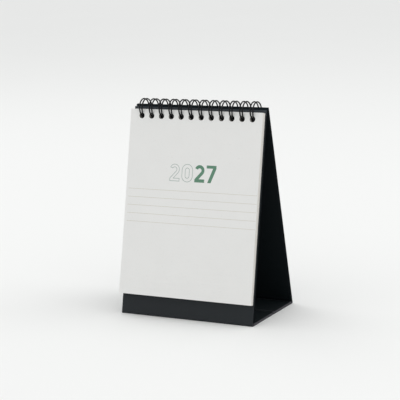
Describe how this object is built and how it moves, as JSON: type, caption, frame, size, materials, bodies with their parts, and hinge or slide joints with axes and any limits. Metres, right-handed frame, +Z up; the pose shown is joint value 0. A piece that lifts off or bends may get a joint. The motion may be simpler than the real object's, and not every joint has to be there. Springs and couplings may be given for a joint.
{
  "type": "desk calendar",
  "caption": "Upright flip calendar: a pad of sheets on a black twin-loop wire, carried by a black A-frame stand of wrapped board that folds flat.",
  "frame": {"origin": "on the table, under the middle crease of the base, midway across the width", "axes": "+X to the viewer's right as the calendar is read, +Y from the pad to the back panel, +Z up"},
  "size_m": [0.111, 0.0722, 0.1613],
  "materials": {
    "board": "matte",
    "wrap": "matte",
    "sheet": "matte",
    "wire": "satin"
  },
  "bodies": {
    "stand_front": {"front_board": "board", "front_wrap": "wrap", "front_crease": "wrap", "binding_wire": "wire"},
    "stand_back": {"back_board": "board", "back_wrap": "wrap"},
    "base_front": {"base_front_board": "board", "base_front_wrap": "wrap", "base_crease": "wrap"},
    "base_rear": {"base_rear_board": "board", "base_rear_wrap": "wrap", "rear_crease": "wrap"},
    "cover_sheet": {"cover_sheet": "sheet"},
    "month_sheet_01": {"month_sheet_01": "sheet"},
    "month_sheet_02": {"month_sheet_02": "sheet"},
    "month_sheet_03": {"month_sheet_03": "sheet"},
    "month_sheet_04": {"month_sheet_04": "sheet"},
    "month_sheet_05": {"month_sheet_05": "sheet"},
    "month_sheet_06": {"month_sheet_06": "sheet"},
    "month_sheet_07": {"month_sheet_07": "sheet"},
    "month_sheet_08": {"month_sheet_08": "sheet"},
    "month_sheet_09": {"month_sheet_09": "sheet"},
    "month_sheet_10": {"month_sheet_10": "sheet"},
    "month_sheet_11": {"month_sheet_11": "sheet"},
    "month_sheet_12": {"month_sheet_12": "sheet"}
  },
  "joints": [
    {"name": "stand_fold", "type": "hinge", "parent": "stand_front", "child": "stand_back", "pos_m": [0, -0.00166, 0.1538], "axis": [-1, 0, 0], "range_deg": [0, 24.5]},
    {"name": "base_front_fold", "type": "hinge", "parent": "stand_front", "child": "base_front", "pos_m": [0, -0.03587, 0], "axis": [-1, 0, 0], "range_deg": [0, 102.25]},
    {"name": "base_rear_fold", "type": "hinge", "parent": "base_front", "child": "base_rear", "pos_m": [0, 0, 0.00225], "axis": [1, 0, 0], "range_deg": [0, 180]},
    {"name": "cover_sheet_turn", "type": "hinge", "parent": "stand_front", "child": "cover_sheet", "pos_m": [0, -0.00166, 0.1538], "axis": [-1, 0, 0], "range_deg": [0, 145]},
    {"name": "month_sheet_01_turn", "type": "hinge", "parent": "stand_front", "child": "month_sheet_01", "pos_m": [0, -0.00166, 0.1538], "axis": [-1, 0, 0], "range_deg": [0, 137.75]},
    {"name": "month_sheet_02_turn", "type": "hinge", "parent": "stand_front", "child": "month_sheet_02", "pos_m": [0, -0.00166, 0.1538], "axis": [-1, 0, 0], "range_deg": [0, 130.5]},
    {"name": "month_sheet_03_turn", "type": "hinge", "parent": "stand_front", "child": "month_sheet_03", "pos_m": [0, -0.00166, 0.1538], "axis": [-1, 0, 0], "range_deg": [0, 123.25]},
    {"name": "month_sheet_04_turn", "type": "hinge", "parent": "stand_front", "child": "month_sheet_04", "pos_m": [0, -0.00166, 0.1538], "axis": [-1, 0, 0], "range_deg": [0, 116]},
    {"name": "month_sheet_05_turn", "type": "hinge", "parent": "stand_front", "child": "month_sheet_05", "pos_m": [0, -0.00166, 0.1538], "axis": [-1, 0, 0], "range_deg": [0, 108.75]},
    {"name": "month_sheet_06_turn", "type": "hinge", "parent": "stand_front", "child": "month_sheet_06", "pos_m": [0, -0.00166, 0.1538], "axis": [-1, 0, 0], "range_deg": [0, 101.5]},
    {"name": "month_sheet_07_turn", "type": "hinge", "parent": "stand_front", "child": "month_sheet_07", "pos_m": [0, -0.00166, 0.1538], "axis": [-1, 0, 0], "range_deg": [0, 94.25]},
    {"name": "month_sheet_08_turn", "type": "hinge", "parent": "stand_front", "child": "month_sheet_08", "pos_m": [0, -0.00166, 0.1538], "axis": [-1, 0, 0], "range_deg": [0, 87]},
    {"name": "month_sheet_09_turn", "type": "hinge", "parent": "stand_front", "child": "month_sheet_09", "pos_m": [0, -0.00166, 0.1538], "axis": [-1, 0, 0], "range_deg": [0, 79.75]},
    {"name": "month_sheet_10_turn", "type": "hinge", "parent": "stand_front", "child": "month_sheet_10", "pos_m": [0, -0.00166, 0.1538], "axis": [-1, 0, 0], "range_deg": [0, 72.5]},
    {"name": "month_sheet_11_turn", "type": "hinge", "parent": "stand_front", "child": "month_sheet_11", "pos_m": [0, -0.00166, 0.1538], "axis": [-1, 0, 0], "range_deg": [0, 65.25]},
    {"name": "month_sheet_12_turn", "type": "hinge", "parent": "stand_front", "child": "month_sheet_12", "pos_m": [0, -0.00166, 0.1538], "axis": [-1, 0, 0], "range_deg": [0, 58]}
  ],
  "couplings": [
    {"joint": "base_front_fold", "follows": "stand_fold", "ratio": 4.1734},
    {"joint": "base_rear_fold", "follows": "stand_fold", "ratio": 7.3469},
    {"joint": "month_sheet_01_turn", "follows": "cover_sheet_turn", "ratio": 0.95},
    {"joint": "month_sheet_02_turn", "follows": "cover_sheet_turn", "ratio": 0.9},
    {"joint": "month_sheet_03_turn", "follows": "cover_sheet_turn", "ratio": 0.85},
    {"joint": "month_sheet_04_turn", "follows": "cover_sheet_turn", "ratio": 0.8},
    {"joint": "month_sheet_05_turn", "follows": "cover_sheet_turn", "ratio": 0.75},
    {"joint": "month_sheet_06_turn", "follows": "cover_sheet_turn", "ratio": 0.7},
    {"joint": "month_sheet_07_turn", "follows": "cover_sheet_turn", "ratio": 0.65},
    {"joint": "month_sheet_08_turn", "follows": "cover_sheet_turn", "ratio": 0.6},
    {"joint": "month_sheet_09_turn", "follows": "cover_sheet_turn", "ratio": 0.55},
    {"joint": "month_sheet_10_turn", "follows": "cover_sheet_turn", "ratio": 0.5},
    {"joint": "month_sheet_11_turn", "follows": "cover_sheet_turn", "ratio": 0.45},
    {"joint": "month_sheet_12_turn", "follows": "cover_sheet_turn", "ratio": 0.4}
  ]
}
